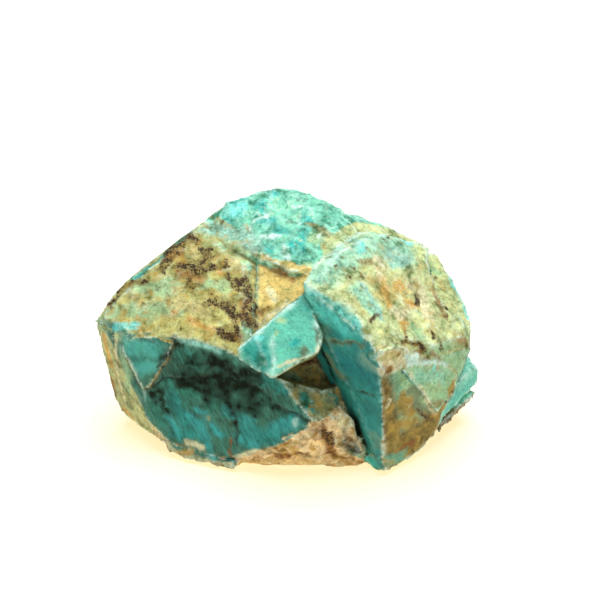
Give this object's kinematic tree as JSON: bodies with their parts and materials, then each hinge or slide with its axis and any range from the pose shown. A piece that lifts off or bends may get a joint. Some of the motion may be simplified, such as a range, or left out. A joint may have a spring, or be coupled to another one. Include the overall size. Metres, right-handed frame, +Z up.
{
  "type": "amazonite specimen",
  "caption": "Rough blue-green feldspar specimen: intergrown blocky crystals with cleavage faces, a granular dome and pale matrix, resting on a flat face.",
  "frame": {"origin": "bottom centre of the bounding box, on the surface that it rests on", "axes": "+Z up, +X along the specimen's length, -Y towards its display side with the large cleavage face"},
  "size_m": [0.0606, 0.0396, 0.0366],
  "materials": {
    "amazonite": "natural cleavage and weathered crust, iron stained"
  },
  "bodies": {
    "root": {"amazonite": "amazonite"}
  },
  "joints": []
}
